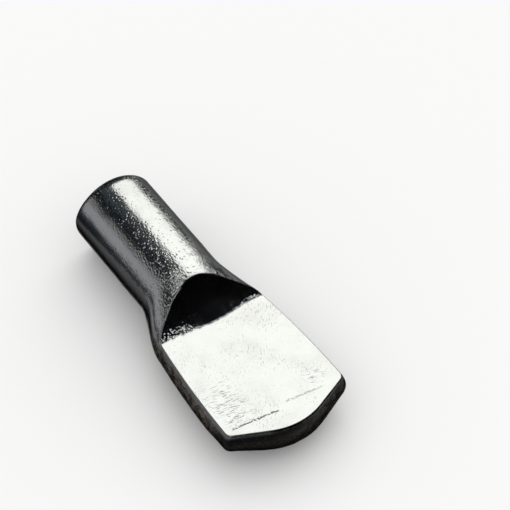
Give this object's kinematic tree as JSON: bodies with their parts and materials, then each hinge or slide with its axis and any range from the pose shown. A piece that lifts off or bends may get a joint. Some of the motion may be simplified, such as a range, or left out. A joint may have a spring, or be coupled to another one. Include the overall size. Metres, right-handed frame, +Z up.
{
  "type": "shelf support pin",
  "caption": "Spoon-style shelf support pin: a round steel peg whose end is cold-forged into a flat paddle that carries the shelf, bright nickel plated.",
  "frame": {"origin": "on the peg's axis, in the plane where the neck leaves the cabinet wall", "axes": "+Y along the peg into the cabinet wall, +Z up out of the shelf seat, +X across the paddle"},
  "size_m": [0.01, 0.0245, 0.0062],
  "materials": {
    "plated_steel": "bright nickel plate over cold-forged steel, finely pitted, with faint handling scratches"
  },
  "bodies": {
    "root": {"support_pin": "plated_steel"}
  },
  "joints": []
}
